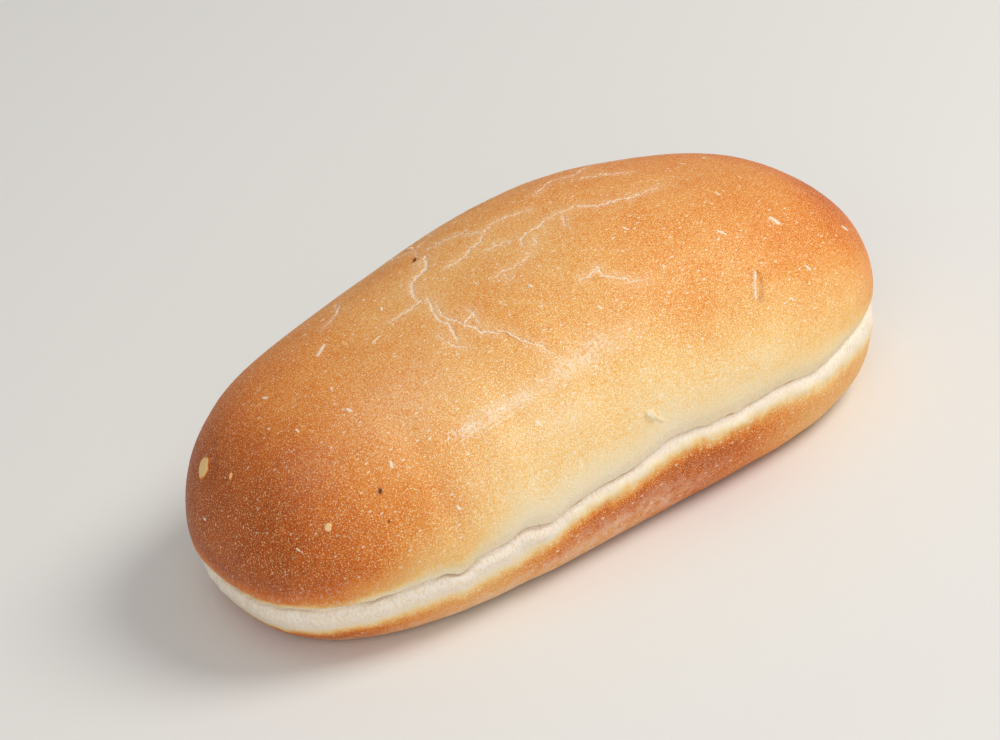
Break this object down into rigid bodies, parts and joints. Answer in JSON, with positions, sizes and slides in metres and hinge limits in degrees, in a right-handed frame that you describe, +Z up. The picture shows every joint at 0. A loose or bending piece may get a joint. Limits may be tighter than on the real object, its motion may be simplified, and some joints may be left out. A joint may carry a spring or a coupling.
{
  "type": "bun",
  "caption": "Long soft white bread bun with a domed brown crust, a pale seam line round its side and a flat base, lying on a table.",
  "frame": {"origin": "middle of the bottom of the bounding box, on the plane of the flat base", "axes": "+X along the bun towards its higher end, -Y towards the side shown in the picture, +Z up"},
  "size_m": [0.1444, 0.0766, 0.0521],
  "materials": {
    "crust": "satin"
  },
  "bodies": {
    "root": {"bun": "crust"}
  },
  "joints": []
}
